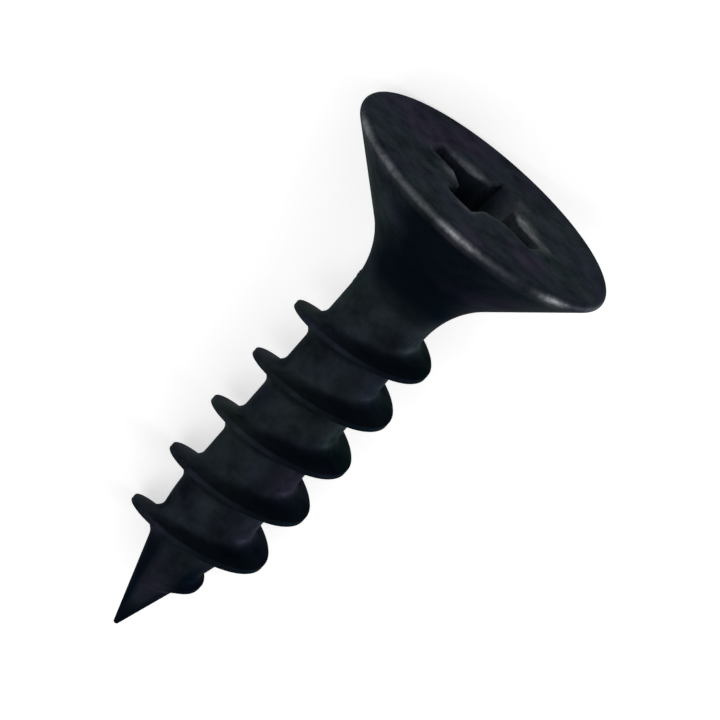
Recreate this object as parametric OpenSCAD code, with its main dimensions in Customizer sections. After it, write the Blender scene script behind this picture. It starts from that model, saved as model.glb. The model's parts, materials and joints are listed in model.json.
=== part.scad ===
// Bugle head drywall screw with a coarse single-start thread, a gimlet point and a cross recess.
// The screw is drawn upright, with the head's flat top at height 0 and the point below it, and is then
// laid on the ground as it comes to rest: on the edge of its head and on the last full turn of its thread.

/* [Screw] */
// Overall length, from the flat top of the head to the point
length = 15.7; // [14:0.1:20]
// Diameter of the plain neck and of the core between the threads
core_d = 2.44; // [2.1:0.02:2.7]
// Length of the tapered gimlet point
point_len = 3.6; // [2.8:0.1:4]
// Diameter of the blunt end of the point
tip_d = 0.12; // [0.06:0.02:0.3]

/* [Head] */
// Diameter of the head
head_d = 8.3; // [7.6:0.1:9]
// Thickness of the head's rounded edge
rim_h = 0.34; // [0.2:0.02:0.5]
// Half angle of the cone right under the edge
bugle_angle = 46.5; // [44:0.5:50]
// Radius of the curve that leads from the cone into the neck
bugle_r = 2.6; // [2.2:0.1:3]

/* [Thread] */
// Diameter over the thread's crests
thread_d = 3.96; // [3.5:0.02:4.2]
// Rise of the thread in one turn
pitch = 1.75; // [1.5:0.05:2]
// Depth below the head's top at which the thread rises from the neck
thread_top = 3.9; // [3.6:0.1:5]
// Length over which it rises to its full height
run_in = 0.9; // [0.5:0.05:1.5]
// Depth below the start of the point at which the thread sinks back into it
thread_reach = 2; // [1.4:0.1:2.4]
// Length over which it sinks
run_out = 1.6; // [1:0.1:2]
// Width of the flat on the crest
crest_w = 0.16; // [0.08:0.02:0.2]
// Slope of each flank, from straight across the screw
flank_angle = 10; // [6:1:16]
// Height over the core at which a flank spreads into its root
root_h = 0.25; // [0.15:0.05:0.35]
// Slope of that spread, from straight across the screw
root_angle = 35; // [25:5:50]

/* [Cross recess] */
// Size over the wings at the head's top
drive_d = 3.9; // [3.6:0.1:4.4]
// Depth of the wings
drive_depth = 2; // [1.6:0.1:2.1]
// Width of a wing at the head's top
wing_w = 0.95; // [0.8:0.05:1.1]
// Width of a wing at its floor
wing_floor_w = 0.65; // [0.5:0.05:0.75]
// Width over the slanted corners between the wings, at the head's top
hub_w = 2.1; // [1.9:0.05:2.3]
// Width over those corners at the floor
hub_floor_w = 1.45; // [1.3:0.05:1.6]
// Slope of a wing's outer edge, from the screw's axis
drive_taper = 26.5; // [24:0.5:28]
// Slope of the pointed floor, from straight across the screw
drive_floor_angle = 28; // [20:1:32]
// Turn of the recess about the screw's axis
drive_turn = 80; // [0:5:90]

/* [Hidden] */

$fn = 96;
steps_per_turn = 60;
// What is joined sinks in by this much, and a cut passes the surface by it
overlap = 0.1;

core_r = core_d / 2;
thread_r = thread_d / 2;
tip_r = tip_d / 2;
rim_r = rim_h / 2;
// Centre of the circle that rounds the head's edge
rim_x = head_d / 2 - rim_r;
point_top = length - point_len;
thread_end = point_top + thread_reach;

// Where the edge's round meets the cone, and where the cone meets the curve of the bugle
edge_x = rim_x + rim_r * cos(bugle_angle);
edge_depth = rim_r + rim_r * sin(bugle_angle);
bugle_x = core_r + bugle_r;
cone_x = bugle_x - bugle_r * cos(bugle_angle);
cone_depth = edge_depth + (edge_x - cone_x) / tan(bugle_angle);
bugle_depth = cone_depth + bugle_r * sin(bugle_angle);

// Radius of the core at a depth below the head's top
function core_at(depth) = depth <= point_top ? core_r
    : core_r + (tip_r - core_r) * (depth - point_top) / point_len;

// Radius of the crest at a depth: it rises from inside the neck and sinks into the point
function ramp(low, share) = low - overlap + (thread_r - low + overlap) * share;
function crest_at(depth) = min(thread_r,
    ramp(core_r, (depth - thread_top) / run_in),
    ramp(core_at(thread_end), (thread_end - depth) / run_out));

// Section of the thread at a depth, as points of radius and rise: a thin fin on a spreading root, whose
// foot is inside the core
function section(depth) =
    let(crest = crest_at(depth), foot = core_at(depth) - 2 * overlap,
        shoulder = min(core_at(depth) + root_h, (foot + crest) / 2),
        crest_half = crest_w / 2,
        shoulder_half = crest_half + (crest - shoulder) * tan(flank_angle),
        foot_half = shoulder_half + (shoulder - foot) * tan(root_angle))
    [[foot, -foot_half], [shoulder, -shoulder_half], [crest, -crest_half],
        [crest, crest_half], [shoulder, shoulder_half], [foot, foot_half]];

thread_steps = ceil((thread_end - thread_top) / pitch * steps_per_turn);

// Depth and turn at each step down the thread
function depth_at(step) = thread_top + (thread_end - thread_top) * step / thread_steps;
function turn_at(depth) = -360 * depth / pitch;

module thread() {
    rings = [for (step = [0:thread_steps]) let(depth = depth_at(step), turn = turn_at(depth))
        [for (p = section(depth)) [p.x * cos(turn), p.x * sin(turn), p.y - depth]]];
    sides = len(rings[0]);
    walls = [for (step = [0:thread_steps - 1], side = [0:sides - 1]) let(
        a = step * sides + side, b = step * sides + (side + 1) % sides, c = a + sides, d = b + sides)
        each [[a, d, b], [a, c, d]]];
    ends = [[for (side = [0:sides - 1]) side], [for (side = [sides - 1:-1:0]) thread_steps * sides + side]];
    polyhedron([for (ring = rings) each ring], concat(walls, ends));
}

module body() {
    rotate_extrude() {
        difference() {
            polygon([[0, 0], [rim_x, 0], [rim_x, -rim_r], [edge_x, -edge_depth], [cone_x, -cone_depth],
                [bugle_x, -bugle_depth], [core_r, -bugle_depth], [core_r, -point_top], [tip_r, -length], [0, -length]]);
            translate([bugle_x, -bugle_depth]) circle(bugle_r);
        }
        translate([rim_x, -rim_r]) circle(rim_r);
    }
}

// A slab across the recess that narrows from the head's top to the floor of the wings
module tapered_slab(top_w, floor_w) {
    slope = (top_w - floor_w) / 2 / drive_depth;
    deep = drive_depth + drive_d / 2;
    top = top_w / 2 + slope * overlap;
    low = top_w / 2 - slope * deep;
    rotate([90, 0, 0]) linear_extrude(2 * drive_d, center = true)
        polygon([[-top, overlap], [top, overlap], [low, -deep], [-low, -deep]]);
}

module drive_recess() {
    top_r = drive_d / 2 + overlap * tan(drive_taper);
    floor_r = drive_d / 2 - drive_depth * tan(drive_taper);
    point_depth = drive_depth + floor_r * tan(drive_floor_angle);
    rotate(drive_turn) intersection() {
        rotate_extrude() polygon([[0, overlap], [top_r, overlap], [floor_r, -drive_depth], [0, -point_depth]]);
        union() {
            for (turn = [0, 90]) rotate(turn) tapered_slab(wing_w, wing_floor_w);
            intersection_for(turn = [45, 135]) rotate(turn) tapered_slab(hub_w, hub_floor_w);
        }
    }
}

// Tilt at which a crest of a given radius and depth touches the ground together with the head's edge
function tilt_for(crest, depth) =
    let(rise = rim_x - crest, reach = depth + crest_w / 2 - rim_r)
    atan2(rise, reach) + asin(rim_r / norm([rise, reach]));

// Tilt of the screw when a given turn of it faces the ground. The first crest to touch decides it, and
// that can be a little ahead of the turn or behind it.
function tilt_at(turn) = min([for (lap = [0:ceil(thread_end / pitch)], lead = [-20:4:20])
    let(depth = pitch * (lap - (turn + lead) / 360))
    if (depth > thread_top && depth < thread_end) tilt_for(crest_at(depth) * cos(lead), depth)]);

// The screw rolls until it leans furthest, where two turns of the thread touch the ground. It hardly leans
// further over the last few degrees of that roll, and stops this much short of it, on one turn
lie_slack = 0.05;
turns = [for (turn = [0:359]) turn];
tilts = [for (turn = turns) tilt_at(turn)];
lie_turn = [for (turn = turns) if (tilts[turn] > max(tilts) - lie_slack) turn][0];
lie_tilt = tilts[lie_turn];

// Height of the head's centre over the ground, and its distance from the middle of the length that is covered
head_height = rim_x * cos(lie_tilt) + rim_r * sin(lie_tilt) + rim_r;
reach_back = rim_x * sin(lie_tilt) - rim_r * cos(lie_tilt) + rim_r;
reach_front = length * cos(lie_tilt) + tip_r * sin(lie_tilt);
head_place = (reach_front - reach_back) / 2;

module screw() {
    color("#1c2024")
        translate([head_place, 0, head_height]) rotate([0, 90 - lie_tilt, 0]) rotate(-lie_turn) {
            difference() {
                body();
                drive_recess();
            }
            thread();
        }
}

screw();
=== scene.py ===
"""Looks of the drywall screw: a smooth mesh of the CAD screw in black phosphated steel, on a pale floor."""

import json
from itertools import count
from math import asin, atan2, cos, exp, pi, radians, sin, sqrt, tan

import bpy
import numpy as np
from mathutils import Matrix, Vector


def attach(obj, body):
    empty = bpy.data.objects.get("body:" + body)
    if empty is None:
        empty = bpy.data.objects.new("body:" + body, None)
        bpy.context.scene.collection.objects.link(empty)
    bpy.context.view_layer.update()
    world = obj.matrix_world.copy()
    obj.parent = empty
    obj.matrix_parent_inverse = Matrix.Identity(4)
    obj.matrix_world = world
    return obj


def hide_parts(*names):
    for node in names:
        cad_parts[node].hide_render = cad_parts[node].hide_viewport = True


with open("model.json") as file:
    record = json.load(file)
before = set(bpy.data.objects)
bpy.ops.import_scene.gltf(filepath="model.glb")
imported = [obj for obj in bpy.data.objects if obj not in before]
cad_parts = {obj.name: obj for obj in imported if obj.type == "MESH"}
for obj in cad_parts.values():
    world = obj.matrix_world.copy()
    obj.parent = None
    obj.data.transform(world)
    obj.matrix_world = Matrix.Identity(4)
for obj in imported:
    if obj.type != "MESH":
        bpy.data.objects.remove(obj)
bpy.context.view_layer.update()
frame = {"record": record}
MM = 0.001

# Sizes of the screw in millimetres, as in the CAD model
LENGTH = 15.7
CORE_R = 1.22
POINT_LEN = 3.6
TIP_R = 0.06
HEAD_R = 4.15
RIM_R = 0.17
BUGLE_ANGLE = radians(46.5)
BUGLE_R = 2.6
THREAD_R = 1.98
PITCH = 1.75
THREAD_TOP = 3.9
RUN_IN = 0.9
THREAD_END = LENGTH - POINT_LEN + 2
RUN_OUT = 1.6
CREST_W = 0.16
FLANK_ANGLE = radians(10)
ROOT_H = 0.25
ROOT_ANGLE = radians(35)
SUNK = 0.1
DRIVE_R = 1.95
DRIVE_DEPTH = 2.0
WING_W = 0.95
WING_FLOOR_W = 0.65
HUB_W = 2.1
HUB_FLOOR_W = 1.45
DRIVE_TAPER = radians(26.5)
DRIVE_FLOOR_ANGLE = radians(28)
DRIVE_TURN = radians(80)

# Roundings that the eye sees and the CAD model leaves sharp, and where the thread fades in and out
CREST_ROUND = 0.03
ROOT_ROUND = 0.1
POINT_ROUND = 0.15
LIP_ROUND = 0.09
CORNER_ROUND = 0.05
FADE_ROUND = 0.1

# Where the coat is worn to bare steel, which also paints highlights along the rim and the recess's lip:
# turn and spread in degrees, and strength
RIM_WEAR_AND_HIGHLIGHTS = (
    (-53, 7, 0.6),
    (-31, 8, 0.4),
    (-14, 8, 0.25),
    (8, 7, 0.75),
    (24, 8, 0.16),
    (55, 5, 0.75),
    (95, 12, 0.3),
    (141, 7, 0.6),
    (178, 14, 0.25),
    (225, 6, 0.7),
    (263, 10, 0.3),
)
LIP_WEAR_AND_HIGHLIGHTS = ((113, 13, 0.55), (222, 11, 0.4), (0, 6, 0.2), (300, 8, 0.25))
# Faint wear all along the recess's lip, and how far lip wear and its painted highlights reach over the flat
# top, as a share of it
LIP_RUB = 0.04
LIP_REACH = 0.2
# How far rim wear and its painted highlights spread round the head's edge, in radians
RIM_SPREAD = 0.42

# Fineness of the mesh: columns round the screw, a multiple of eight, and rows over each stretch
COLUMNS = 192
OCTANT = COLUMNS // 8
FLOOR_ROWS = 8
WALL_ROWS = 12
LIP_ROWS = 6
TOP_ROWS = 12
EDGE_ROWS = 18
CONE_ROWS = 10
BUGLE_ROWS = 14
POINT_ROWS = 10
TIP_ROWS = 5
# How far the thread's rows reach past the thread at both ends, and the slimmest width that is divided by
SEAM = 0.1
SLIM = 1e-3

POINT_TOP = LENGTH - POINT_LEN
RIM_X = HEAD_R - RIM_R
BUGLE_X = CORE_R + BUGLE_R
EDGE_X = RIM_X + RIM_R * cos(BUGLE_ANGLE)
EDGE_DEPTH = RIM_R + RIM_R * sin(BUGLE_ANGLE)
CONE_X = BUGLE_X - BUGLE_R * cos(BUGLE_ANGLE)
CONE_DEPTH = EDGE_DEPTH + (EDGE_X - CONE_X) / tan(BUGLE_ANGLE)
BUGLE_DEPTH = CONE_DEPTH + BUGLE_R * sin(BUGLE_ANGLE)
FLOOR_R = DRIVE_R - DRIVE_DEPTH * tan(DRIVE_TAPER)
FLOOR_POINT = DRIVE_DEPTH + FLOOR_R * tan(DRIVE_FLOOR_ANGLE)

# Where the coat is painted darker as shade: in the bugle's curve, on one side of the cone, fins and point,
# at the tip and in the recess. Each rule pairs depths, radii, or cosines or sines of the turn, with shares
# of painted shade
SHADED_SIDE = radians(70)
POINT_UNSHADED_TURN = radians(15)
CURVE_SHADE = ([1.5, 2.2, 3.1, 3.75], [0, 1, 1, 0])
CURVE_SHADE_SIDE = ([-0.45, -0.2], [0.5, 1])
CONE_SHADE = ([0.3, 0.5, 2.2, 2.4], [0, 1, 1, 0])
CONE_SHADE_SIDE = ([-0.15, 0.15, 0.8], [0, 1, 0.8])
CONE_SHADE_R = HEAD_R - 0.005
FIN_SHADE = ([CORE_R + 0.03, CORE_R + 0.12, CORE_R + 0.4], [0, 0.8, 0.9])
POINT_SHADE = ([POINT_TOP, POINT_TOP + 1], [0, 1])
POINT_SHADE_SIDE = ([0.75, 0.95], [1, 0.2])
TIP_SHADE = ([LENGTH - 1.1, LENGTH - 0.5], [0, 1])
RECESS_SHADE = ([0.1, 0.6], [0, 1])
RECESS_SHADE_SIDE = ([-0.6, -0.1], [1, 0])
# How a driver has rubbed the recess's walls to bare steel, by the sine of the turn, which also paints that
# side lighter
RECESS_RUB_AND_LIGHT = ([0, 0.3], [0, 0.05])

# Colours of the coat where it is painted darker as shade and where it is worn off, which also paints
# highlights, and of its clouds by position on a ramp
SHADED_COAT = (0.0024, 0.0043, 0.0072, 1)
BARE_STEEL_AND_HIGHLIGHT = (0.27, 0.28, 0.3, 1)
COAT_CLOUDS = [
    (0.36, (0.0110, 0.0152, 0.0175)),
    (0.5, (0.0107, 0.0138, 0.0198)),
    (0.64, (0.0128, 0.0134, 0.0208)),
]
GLOSS_CLOUDS = [(0.36, (0.48, 0.52, 0.49)), (0.5, (0.48, 0.50, 0.51)), (0.64, (0.50, 0.48, 0.53))]
# How much thinner and thicker spots darken and lighten the coat and its gloss
COAT_SPOTS = [(0.32, (0.5, 0.5, 0.5)), (0.68, (1.45, 1.45, 1.45))]
GLOSS_SPOTS = [(0.3, (0.9, 0.9, 0.9)), (0.7, (1.1, 1.1, 1.1))]


def soft_max(a, b, width):
    """The larger of two values, with a round of about the given width where they cross."""
    gap = np.clip(1 - np.abs(a - b) / (2 * width), 0, 1)
    return np.maximum(a, b) + gap * gap * width / 2


def soft_min(a, b, width):
    return -soft_max(-a, -b, width)


def body_radius(depth):
    """Radius of the neck, core and point at a depth below the head's top."""
    above = BUGLE_DEPTH - np.minimum(depth, BUGLE_DEPTH)
    curve = BUGLE_X - np.sqrt(np.maximum(BUGLE_R**2 - above**2, 0))
    cone = CORE_R + (TIP_R - CORE_R) * (depth - POINT_TOP) / POINT_LEN
    return soft_min(curve, cone, POINT_ROUND)


def crest_radius(depth):
    """Radius of the thread's crest: it rises from inside the neck and sinks into the point."""
    end_r = CORE_R + (TIP_R - CORE_R) * (THREAD_END - POINT_TOP) / POINT_LEN - SUNK
    rise = CORE_R - SUNK + (THREAD_R - CORE_R + SUNK) * (depth - THREAD_TOP) / RUN_IN
    sink = end_r + (THREAD_R - end_r) * (THREAD_END - depth) / RUN_OUT
    return soft_min(soft_min(rise, sink, FADE_ROUND), THREAD_R + 0 * depth, FADE_ROUND)


def screw_radius(depth, offset):
    """Radius at a depth, where offset is how far below the nearest crest it lies."""
    body, crest = body_radius(depth), crest_radius(depth - offset)
    shoulder = body + ROOT_H
    aside = np.abs(offset) - CREST_W / 2
    flank = crest - aside / tan(FLANK_ANGLE)
    root = shoulder - (aside - (crest - shoulder) * tan(FLANK_ANGLE)) / tan(ROOT_ANGLE)
    fin = soft_max(soft_min(crest, flank, CREST_ROUND), np.minimum(root, crest), ROOT_ROUND)
    return soft_max(body, fin, ROOT_ROUND)


def wear_and_highlight_at(turns, places):
    """How worn an edge is at each turn, where the wear also paints highlights."""
    wear_and_highlight = 0.0
    for middle, spread, strength in places:
        gap = (np.degrees(turns) - middle + 180) % 360 - 180
        wear_and_highlight = np.maximum(wear_and_highlight, strength * np.exp(-0.5 * (gap / spread) ** 2))
    return wear_and_highlight


def painted_shade_at(radius, depth, turns):
    """How much painted shade darkens the coat: in the bugle's curve under the head, on one side of the cone
    and fins, on one side of the point, and at the tip.
    """
    facing = np.cos(turns - SHADED_SIDE)
    curve = np.interp(depth, *CURVE_SHADE) * np.interp(facing, *CURVE_SHADE_SIDE)
    cone = np.interp(depth, *CONE_SHADE) * (radius < CONE_SHADE_R) * np.interp(facing, *CONE_SHADE_SIDE)
    fins = np.interp(radius, *FIN_SHADE) * (depth > THREAD_TOP) * np.sqrt(np.maximum(facing, 0))
    point = np.interp(depth, *POINT_SHADE) * np.interp(np.cos(turns - POINT_UNSHADED_TURN), *POINT_SHADE_SIDE)
    tip = np.interp(depth, *TIP_SHADE)
    return np.maximum.reduce(np.broadcast_arrays(curve, cone, fins, point, tip))


def recess_painted_shade(depth, turns):
    """How much painted shade darkens the recess: more with depth, and most on one side."""
    return np.interp(depth, *RECESS_SHADE) * np.interp(np.sin(turns), *RECESS_SHADE_SIDE)


def recess_rub_and_light(turns):
    """How much a driver has rubbed the recess's walls, on the side with less painted shade, which also
    paints that side lighter.
    """
    return np.interp(np.sin(turns), *RECESS_RUB_AND_LIGHT)


def ring(radius, depth, turns, wear_and_highlight=0.0, shade_rule=None):
    """One row of points with their wear, which also paints highlights, and their painted shade. Each value
    is a number, or one number for each column.
    """
    none = np.zeros(COLUMNS + 1)
    turns = turns + none
    # Painted shade for each point of the row
    painted_shade = none + (shade_rule(depth, turns) if shade_rule else painted_shade_at(radius, depth, turns))
    return np.stack([radius * np.cos(turns), radius * np.sin(turns), none - depth, none + wear_and_highlight, painted_shade], -1)


def recess_outline(depth, grow):
    """Turn and radius of the recess's wall at a depth, at each column, with the outline grown outwards."""
    wing = (WING_W + (WING_FLOOR_W - WING_W) * depth / DRIVE_DEPTH) / 2 + grow
    hub = (HUB_W + (HUB_FLOOR_W - HUB_W) * depth / DRIVE_DEPTH) / 2 + grow
    if depth <= DRIVE_DEPTH:
        reach = DRIVE_R - depth * tan(DRIVE_TAPER) + grow
    else:
        reach = max((FLOOR_POINT - depth) / tan(DRIVE_FLOOR_ANGLE), SLIM)
    # The columns of an eighth of the way round stand closer at the wing's tip and at the hub's corner
    tip = asin(min(wing / reach, 0.5))
    corner = atan2(wing, hub * sqrt(2) - wing)
    knots = [0, tip - 0.05, tip + 0.03, corner - 0.06, corner + 0.06, pi / 4]
    places = [0, 6 / 24, 10 / 24, 14 / 24, 19 / 24, 1]
    part = np.interp(np.linspace(0, 1, OCTANT + 1), places, knots)
    eighth = np.concatenate([part, pi / 2 - part[-2::-1]])
    turns = np.concatenate([eighth[:-1] + quarter * pi / 2 for quarter in range(4)] + [[2 * pi]])
    local = np.abs((turns + pi / 4) % (pi / 2) - pi / 4)
    # In the middle of a wing its sides lie far out, so that only the reach counts
    side = np.minimum(wing / np.maximum(np.sin(local), SLIM), 2 * reach + 4)
    facet = hub / np.cos(pi / 4 - local)
    radius = soft_min(soft_max(side, facet, CORNER_ROUND), reach + 0 * side, CORNER_ROUND)
    return turns, radius


def recess_rows():
    """Rows from the middle of the recess's floor up its walls to the head's flat top."""
    floor = np.linspace(FLOOR_POINT, DRIVE_DEPTH, FLOOR_ROWS)[1:-1]
    wall = np.linspace(DRIVE_DEPTH, LIP_ROUND, WALL_ROWS)[:-1]
    rows = [ring(0, FLOOR_POINT, 0, 0, recess_painted_shade)]
    for depth in [*floor, *wall]:
        turns, radius = recess_outline(depth, 0)
        # Walls rubbed to bare steel on one side, which also paints that side lighter
        rows.append(ring(radius, depth, DRIVE_TURN + turns, recess_rub_and_light(DRIVE_TURN + turns), recess_painted_shade))
    for lean in np.linspace(0, pi / 2, LIP_ROWS):
        depth = LIP_ROUND * (1 - sin(lean))
        turns, radius = recess_outline(depth, LIP_ROUND * (1 - cos(lean)))
        lip = LIP_RUB + wear_and_highlight_at(DRIVE_TURN + turns, LIP_WEAR_AND_HIGHLIGHTS)
        wear_and_highlight = recess_rub_and_light(DRIVE_TURN + turns) * cos(lean) + lip * sin(lean)
        rows.append(ring(radius, depth, DRIVE_TURN + turns, wear_and_highlight, recess_painted_shade))
    return rows, turns, radius


def head_rows(mouth_turns, mouth_radius):
    """Rows from the recess's mouth over the flat top, round the edge and down the bugle to the neck."""
    even = np.linspace(0, 2 * pi, COLUMNS + 1)
    # Rim wear, placed also as painted highlights
    rim_wear_and_highlight = wear_and_highlight_at(DRIVE_TURN + even, RIM_WEAR_AND_HIGHLIGHTS)
    rows = []
    # Over the top, the columns turn from the recess's spacing to an even one before the edge
    for share in [*np.linspace(0, 0.9, TOP_ROWS)[1:], 0.93, 0.96, 0.98, 1]:
        turns = mouth_turns + (even - mouth_turns) * min(1, share * 1.5)
        wear_and_highlight = wear_and_highlight_at(DRIVE_TURN + turns, LIP_WEAR_AND_HIGHLIGHTS) * max(0, 1 - share / LIP_REACH)
        rows.append(ring(mouth_radius + (RIM_X - mouth_radius) * share, 0, DRIVE_TURN + turns, wear_and_highlight))
    for lean in np.linspace(pi / 2, -BUGLE_ANGLE, EDGE_ROWS)[1:]:
        wear_and_highlight = rim_wear_and_highlight * exp(-0.5 * (lean / RIM_SPREAD) ** 2)
        rows.append(ring(RIM_X + RIM_R * cos(lean), RIM_R - RIM_R * sin(lean), DRIVE_TURN + even, wear_and_highlight))
    for share in np.linspace(0, 1, CONE_ROWS)[1:]:
        radius = EDGE_X + (CONE_X - EDGE_X) * share
        depth = EDGE_DEPTH + (CONE_DEPTH - EDGE_DEPTH) * share
        rows.append(ring(radius, depth, DRIVE_TURN + even))
    top = THREAD_TOP - SEAM
    for lean in np.linspace(BUGLE_ANGLE, asin((BUGLE_DEPTH - top) / BUGLE_R), BUGLE_ROWS)[1:]:
        radius = BUGLE_X - BUGLE_R * cos(lean)
        depth = BUGLE_DEPTH - BUGLE_R * sin(lean)
        rows.append(ring(radius, depth, DRIVE_TURN + even))
    return rows, top


def thread_rows(top):
    """Rows that follow the thread's helix, cut level at the neck and below the thread's end."""
    turns = DRIVE_TURN + np.linspace(0, 2 * pi, COLUMNS + 1)
    low = THREAD_END + SEAM
    shoulder = CREST_W / 2 + (THREAD_R - CORE_R - ROOT_H) * tan(FLANK_ANGLE)
    foot = shoulder + ROOT_H * tan(ROOT_ANGLE)
    # Rows below a crest, closer together where the outline bends, and the same above it
    half = np.concatenate([
        CREST_W * np.array([0, 0.3, 0.42, 0.49, 0.54, 0.6]),
        np.linspace(CREST_W * 0.7, shoulder - 0.01, 4),
        np.linspace(shoulder + 0.01, foot + 0.06, 8),
        np.linspace(foot + 0.12, PITCH / 2, 4),
    ])
    offsets = np.concatenate([-half[:0:-1], half[:-1]])
    rows = []
    for lap in count(1):
        for offset in offsets:
            depth = PITCH * (lap - turns / (2 * pi)) + offset
            if depth.max() <= top:
                continue
            level = np.clip(depth, top, low)
            rows.append(ring(screw_radius(level, offset + level - depth), level, turns))
            if depth.min() >= low:
                return rows, low


def point_rows(low):
    """Rows from below the thread to the rounded end of the point."""
    turns = DRIVE_TURN + np.linspace(0, 2 * pi, COLUMNS + 1)
    shoulder = LENGTH - TIP_R
    rows = [ring(body_radius(depth), depth, turns) for depth in np.linspace(low, shoulder, POINT_ROWS)[1:]]
    end_r = float(body_radius(np.array(shoulder)))
    for lean in np.linspace(0, pi / 2, TIP_ROWS)[1:]:
        rows.append(ring(end_r * cos(lean), shoulder + TIP_R * sin(lean), turns))
    return rows


def weld(rows):
    """A closed mesh from rows of points: its points, their wear (partly painted highlight) and painted
    shade, and its faces.
    """
    grid = np.array(rows)
    flat = grid.reshape(-1, 5)
    places = np.round(flat[:, :3], 5)
    _, first, index = np.unique(places, axis=0, return_index=True, return_inverse=True)
    index = index.reshape(grid.shape[:2])
    corners = (index[:-1, :-1], index[1:, :-1], index[1:, 1:], index[:-1, 1:])
    faces = []
    for quad in np.stack(corners, -1).reshape(-1, 4).tolist():
        face = [p for k, p in enumerate(quad) if p != quad[k - 1]]
        if len(set(face)) == len(face) >= 3:
            faces.append(face)
    return flat[first, :3], {"wear_and_highlight": flat[first, 3], "painted_shade": flat[first, 4]}, faces


def make_screw(place):
    inner, turns, radius = recess_rows()
    head, top = head_rows(turns, radius)
    thread, low = thread_rows(top)
    points, values, faces = weld(inner + head + thread + point_rows(low))
    mesh = bpy.data.meshes.new("steel_screw")
    mesh.from_pydata([place @ Vector(p * MM) for p in points], [], faces)
    for name, value in values.items():
        attribute = mesh.attributes.new(name, "FLOAT", "POINT")
        attribute.data.foreach_set("value", value.astype(np.float32))
    mesh.validate()
    mesh.shade_smooth()
    mesh.set_sharp_from_angle(angle=radians(50))
    piece = bpy.data.objects.new("steel_screw", mesh)
    bpy.context.collection.objects.link(piece)
    return piece


# Turn of the point between two wings where the head_top mount lies, from a wing
MOUNT_TURN = radians(225)


def screw_place():
    """Where the screw lies, from the mounts on its head."""
    mounts = {m["name"]: m for m in frame["record"]["mounts"]}
    centre = Vector(mounts["drive_recess"]["pos_m"])
    axis = Vector(mounts["drive_recess"]["axis"]).normalized()
    between = Vector(mounts["head_top"]["pos_m"]) - centre
    between = (between - between.dot(axis) * axis).normalized()
    sideways = axis.cross(between)
    turn = DRIVE_TURN + MOUNT_TURN
    x = between * cos(turn) - sideways * sin(turn)
    y = between * sin(turn) + sideways * cos(turn)
    return Matrix.Translation(centre) @ Matrix((x, y, axis)).transposed().to_4x4()


def shader(name):
    material = bpy.data.materials.new(name)
    material.use_nodes = True
    tree = material.node_tree
    tree.nodes.clear()
    return material, tree


def add(tree, kind, **sockets):
    node = tree.nodes.new(kind)
    for key, value in sockets.items():
        node.inputs[key.replace("_", " ")].default_value = value
    return node


def ramp(tree, stops):
    """A colour ramp of (position, colour) stops."""
    node = tree.nodes.new("ShaderNodeValToRGB")
    elements = node.color_ramp.elements
    while len(elements) < len(stops):
        elements.new(0.5)
    for element, (position, colour) in zip(elements, stops):
        element.position = position
        element.color = (*colour, 1)
    return node


def mixed(tree, factor, first, second):
    """A mix of two colours by a factor. Each of the three is an output socket or a plain value."""
    node = tree.nodes.new("ShaderNodeMix")
    node.data_type = "RGBA"
    for socket, value in ((node.inputs[0], factor), (node.inputs[6], first), (node.inputs[7], second)):
        if isinstance(value, bpy.types.NodeSocket):
            tree.links.new(value, socket)
        else:
            socket.default_value = value
    return node.outputs[2]


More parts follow.
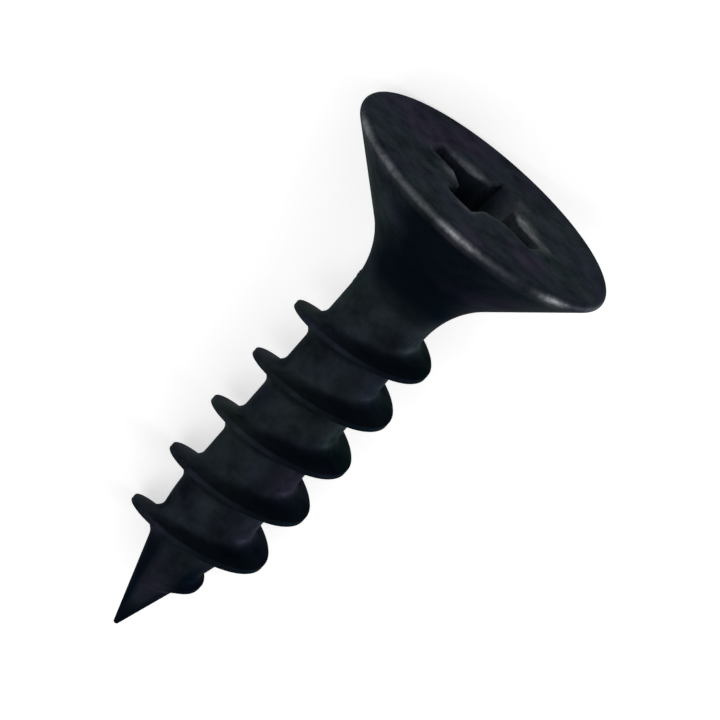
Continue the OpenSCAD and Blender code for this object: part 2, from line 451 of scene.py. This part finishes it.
def phosphate():
    """Satin black phosphate on steel: green, blue and violet clouds, fine grain, painted shade, and worn
    edges that also paint highlights.
    """
    material, tree = shader("black_phosphate")
    link = tree.links.new
    out = add(tree, "ShaderNodeOutputMaterial")
    bsdf = add(tree, "ShaderNodeBsdfPrincipled", Specular_IOR_Level=0.0)
    coords = add(tree, "ShaderNodeTexCoord")

    def noise(scale, detail, roughness):
        node = add(tree, "ShaderNodeTexNoise", Scale=scale, Detail=detail, Roughness=roughness)
        link(coords.outputs["Object"], node.inputs["Vector"])
        return node.outputs["Fac"]

    def shaded(clouds, colours, thickness, spots):
        """A ramp by one noise, deepened and lightened by another."""
        tint = ramp(tree, colours)
        link(clouds, tint.inputs["Fac"])
        depth = ramp(tree, spots)
        link(thickness, depth.inputs["Fac"])
        product = tree.nodes.new("ShaderNodeMix")
        product.data_type = "RGBA"
        product.blend_type = "MULTIPLY"
        product.inputs[0].default_value = 1.0
        link(tint.outputs["Color"], product.inputs[6])
        link(depth.outputs["Color"], product.inputs[7])
        return product.outputs[2]

    def painted(name):
        node = tree.nodes.new("ShaderNodeAttribute")
        node.attribute_name = name
        return node.outputs["Fac"]

    clouds = noise(420.0, 2.0, 0.5)
    thickness = noise(1300.0, 5.0, 0.68)
    coat = shaded(clouds, COAT_CLOUDS, thickness, COAT_SPOTS)
    film = shaded(clouds, GLOSS_CLOUDS, thickness, GLOSS_SPOTS)
    # Painted shade: the coat is darkened where the shade attribute is set
    shade_darkened = mixed(tree, painted("painted_shade"), coat, SHADED_COAT)

    breaks = add(tree, "ShaderNodeMapRange", From_Min=0.35, From_Max=0.62, To_Min=0.45, To_Max=1.0)
    link(noise(5200.0, 4.0, 0.65), breaks.inputs["Value"])
    # Bare steel where worn, which also paints the highlights on the rim and the recess's lip
    bare_and_highlight = tree.nodes.new("ShaderNodeMath")
    bare_and_highlight.operation = "MULTIPLY"
    link(painted("wear_and_highlight"), bare_and_highlight.inputs[0])
    link(breaks.outputs["Result"], bare_and_highlight.inputs[1])
    link(mixed(tree, bare_and_highlight.outputs["Value"], shade_darkened, BARE_STEEL_AND_HIGHLIGHT), bsdf.inputs["Base Color"])
    link(film, bsdf.inputs["Specular Tint"])
    metal = add(tree, "ShaderNodeMapRange", To_Min=0.5)
    link(bare_and_highlight.outputs["Value"], metal.inputs["Value"])
    link(metal.outputs["Result"], bsdf.inputs["Metallic"])

    gloss = add(tree, "ShaderNodeMapRange", To_Min=0.48, To_Max=0.6)
    link(noise(2600.0, 4.0, 0.6), gloss.inputs["Value"])
    link(gloss.outputs["Result"], bsdf.inputs["Roughness"])

    dents = add(tree, "ShaderNodeBump", Strength=0.6, Distance=0.00002)
    link(noise(1900.0, 2.0, 0.5), dents.inputs["Height"])
    grain = add(tree, "ShaderNodeBump", Strength=0.35, Distance=0.000002)
    link(noise(15000.0, 3.0, 0.6), grain.inputs["Height"])
    link(dents.outputs["Normal"], grain.inputs["Normal"])
    link(grain.outputs["Normal"], bsdf.inputs["Normal"])
    link(bsdf.outputs["BSDF"], out.inputs["Surface"])
    return material


# Place and aim of the camera, in the screw's own frame, as measured on the photograph
VIEW_TILT = radians(73.79)
VIEW_TURN = radians(6.8)
VIEW_ROLL = radians(131.23)
VIEW_DISTANCE = 435.0
PIXELS_PER_MM = 37.9
PICTURE = 720
HEAD_PIXEL = (487.5, 197.3)
SENSOR = 36.0

# Levels of the soft light all round, and of the floor's own white where it is seen
STUDIO_LEVEL = 0.5
FLOOR_GLOW = 0.5
# Half the floor's side, in metres, and its paint
FLOOR_HALF = 2.0
FLOOR_PAINT = (0.8, 0.8, 0.8, 1)

# Lamps by name: size and place in metres, strength between them, all aimed at the screw's middle
LAMPS = (
    ("key", 0.25, 1.0, (0.387, 0.387, 0.057)),
    ("side", 0.25, 0.25, (0.0, 0.517, 0.188)),
    ("top", 0.25, 0.75, (-0.135, 0.327, 0.421)),
    ("rim", 0.15, 2.0, (0.0, -0.547, 0.057)),
)
LAMP_TARGET = (0, 0, 0.004)


def make_camera(place):
    """A long lens that sees the screw as the photograph does."""
    spin = place.to_3x3()
    forth = Vector((cos(VIEW_TURN), sin(VIEW_TURN), 0))
    rise = Vector((0, 0, 1))
    out = spin @ (forth * sin(VIEW_TILT) + rise * cos(VIEW_TILT))
    along = spin @ (rise * sin(VIEW_TILT) - forth * cos(VIEW_TILT))
    across = along.cross(out)
    right = across * sin(VIEW_ROLL) - along * cos(VIEW_ROLL)
    up = across * cos(VIEW_ROLL) + along * sin(VIEW_ROLL)
    head = place.translation
    eye = head + out * VIEW_DISTANCE * MM
    aside = [(PICTURE / 2 - p) / PIXELS_PER_MM * MM for p in HEAD_PIXEL]
    target = head + right * aside[0] - up * aside[1]
    back = (eye - target).normalized()
    right = up.cross(back).normalized()
    camera = bpy.data.objects.new("camera", bpy.data.cameras.new("camera"))
    facing = Matrix((right, back.cross(right), back)).transposed().to_4x4()
    camera.matrix_world = Matrix.Translation(eye) @ facing
    camera.data.sensor_width = SENSOR
    camera.data.lens = SENSOR * VIEW_DISTANCE * PIXELS_PER_MM / PICTURE
    camera.data.clip_start = 0.01
    camera.data.clip_end = 10
    bpy.context.collection.objects.link(camera)
    bpy.context.scene.camera = camera


def seen_rays(tree):
    """One for the rays that show the background: straight from the camera, off metal or through glass."""
    path = add(tree, "ShaderNodeLightPath")
    total = path.outputs["Is Camera Ray"]
    for name in ("Is Glossy Ray", "Is Transmission Ray"):
        node = tree.nodes.new("ShaderNodeMath")
        node.operation = "MAXIMUM"
        tree.links.new(total, node.inputs[0])
        tree.links.new(path.outputs[name], node.inputs[1])
        total = node.outputs["Value"]
    return total


def make_floor():
    """A wide white floor that keeps the screw's shadow."""
    mesh = bpy.data.meshes.new("floor")
    corners = [(-1, -1), (1, -1), (1, 1), (-1, 1)]
    mesh.from_pydata([(x * FLOOR_HALF, y * FLOOR_HALF, 0) for x, y in corners], [], [(0, 1, 2, 3)])
    floor = bpy.data.objects.new("floor", mesh)
    bpy.context.collection.objects.link(floor)
    material, tree = shader("pale_floor")
    link = tree.links.new
    out = add(tree, "ShaderNodeOutputMaterial")
    paint = add(tree, "ShaderNodeBsdfDiffuse", Color=FLOOR_PAINT)
    glow = add(tree, "ShaderNodeEmission", Color=(1, 1, 1, 1))
    level = tree.nodes.new("ShaderNodeMath")
    level.operation = "MULTIPLY"
    level.inputs[1].default_value = FLOOR_GLOW
    both = add(tree, "ShaderNodeAddShader")
    link(seen_rays(tree), level.inputs[0])
    link(level.outputs["Value"], glow.inputs["Strength"])
    link(paint.outputs["BSDF"], both.inputs[0])
    link(glow.outputs["Emission"], both.inputs[1])
    link(both.outputs["Shader"], out.inputs["Surface"])
    mesh.materials.append(material)


def area_light(name, size, power, position):
    data = bpy.data.lights.new(name, "AREA")
    data.shape = "DISK"
    data.size = size
    data.energy = power
    lamp = bpy.data.objects.new(name, data)
    aim = Vector(LAMP_TARGET) - Vector(position)
    lamp.matrix_world = Matrix.Translation(position) @ aim.to_track_quat("-Z", "Y").to_matrix().to_4x4()
    bpy.context.collection.objects.link(lamp)


def make_world():
    """Soft white light all round, and full white where the background itself is seen."""
    world = bpy.data.worlds.new("studio")
    world.use_nodes = True
    tree = world.node_tree
    tree.nodes.clear()
    link = tree.links.new
    out = add(tree, "ShaderNodeOutputWorld")
    soft = add(tree, "ShaderNodeBackground", Color=(1, 1, 1, 1), Strength=STUDIO_LEVEL)
    white = add(tree, "ShaderNodeBackground", Color=(1, 1, 1, 1), Strength=1.0)
    mix = add(tree, "ShaderNodeMixShader")
    link(seen_rays(tree), mix.inputs["Fac"])
    link(soft.outputs["Background"], mix.inputs[1])
    link(white.outputs["Background"], mix.inputs[2])
    link(mix.outputs["Shader"], out.inputs["Surface"])
    bpy.context.scene.world = world


place = screw_place()
make_camera(place)
screw = make_screw(place)
screw.data.materials.append(phosphate())
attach(screw, "root")
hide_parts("screw")
make_floor()
make_world()
for lamp in LAMPS:
    area_light(*lamp)
bpy.context.scene.view_settings.view_transform = "Standard"
